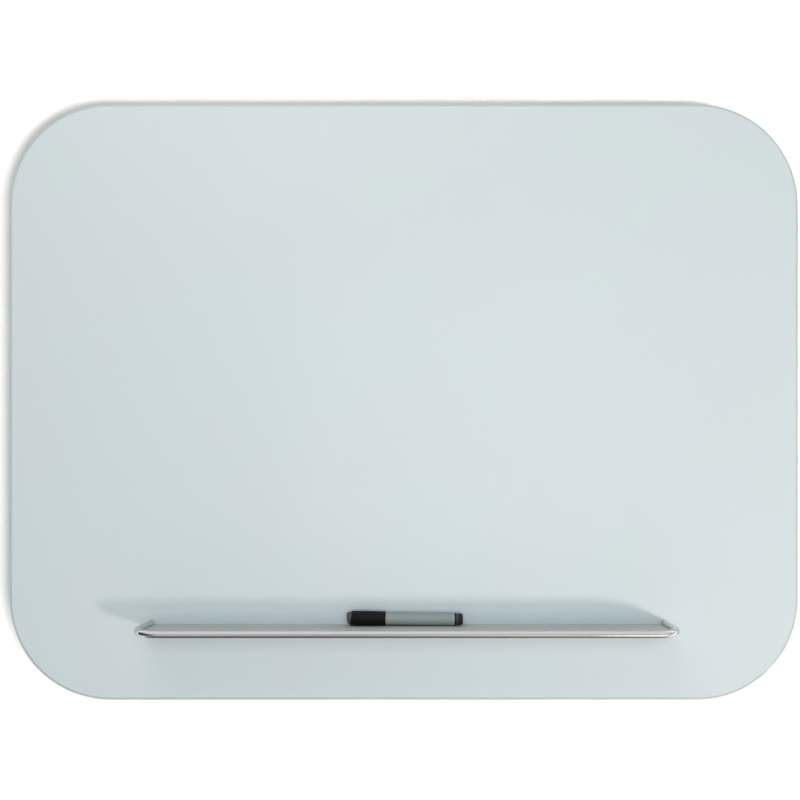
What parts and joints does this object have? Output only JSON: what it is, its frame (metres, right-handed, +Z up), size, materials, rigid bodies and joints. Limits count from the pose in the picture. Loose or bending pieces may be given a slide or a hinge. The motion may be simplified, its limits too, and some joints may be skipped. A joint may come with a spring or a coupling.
{
  "type": "magnetic glass whiteboard",
  "caption": "Frameless back-painted glass board with round corners, hung on wall cleats, with a magnet-held rod-rimmed pen tray and a capped marker.",
  "frame": {"origin": "centre of the four wall screw holes, in the wall plane", "axes": "+X to the right as seen from the room, +Y into the wall, +Z up"},
  "size_m": [0.9, 0.0892, 0.68],
  "materials": {
    "glass": "polished",
    "enamel": "fired",
    "film": "clear",
    "galvanised_steel": "galvanised",
    "rail": "mill",
    "liner": "moulded",
    "end_stop": "moulded",
    "foam_tape": "matte",
    "zinc": "zinc plated",
    "bumper": "matte",
    "tray_metal": "satin",
    "magnet": "nickel plated",
    "silicone": "matte",
    "barrel": "satin",
    "cap": "satin",
    "button": "gloss",
    "plug": "gloss",
    "seal": "moulded",
    "felt": "fibre"
  },
  "bodies": {
    "wall_mount": {"wall_rail_top": "rail", "wall_rail_bottom": "rail", "rail_liner_top": "liner", "rail_liner_bottom": "liner", "rail_end_stops": "end_stop"},
    "board": {"glass_pane": "glass", "back_enamel": "enamel", "adhesive_film": "film", "steel_sheet": "galvanised_steel", "hanger_rail_top": "rail", "hanger_rail_bottom": "rail", "hanger_tape_top": "foam_tape", "hanger_tape_bottom": "foam_tape", "weld_studs": "zinc", "stud_washers": "zinc", "stud_nuts": "zinc", "corner_bumpers": "bumper"},
    "tray": {"tray_rim": "tray_metal", "tray_floor": "tray_metal", "rim_welds": "tray_metal", "rim_end_pads": "silicone", "magnet_bar": "galvanised_steel", "tray_magnets": "magnet", "glass_pad": "silicone"},
    "marker": {"marker_barrel": "barrel", "marker_nib_holder": "seal", "marker_nib": "felt", "ink_reservoir": "felt", "marker_end_collar": "cap", "marker_end_plug": "plug"},
    "marker_cap": {"marker_cap": "cap", "cap_end_button": "button", "cap_inner_seal": "seal"}
  },
  "joints": [
    {"name": "board_lift", "type": "slide", "parent": "wall_mount", "child": "board", "axis": [0, 0, 1], "range_m": [0, 0.014]},
    {"name": "tray_slide", "type": "slide", "parent": "board", "child": "tray", "axis": [1, 0, 0], "range_m": [-0.13, 0.125]},
    {"name": "marker_lift", "type": "slide", "parent": "tray", "child": "marker", "axis": [0, -0.6, 0.8], "range_m": [0, 0.1]},
    {"name": "cap_pull", "type": "slide", "parent": "marker", "child": "marker_cap", "axis": [-0.9999, 0, 0.0115], "range_m": [0, 0.045]}
  ]
}
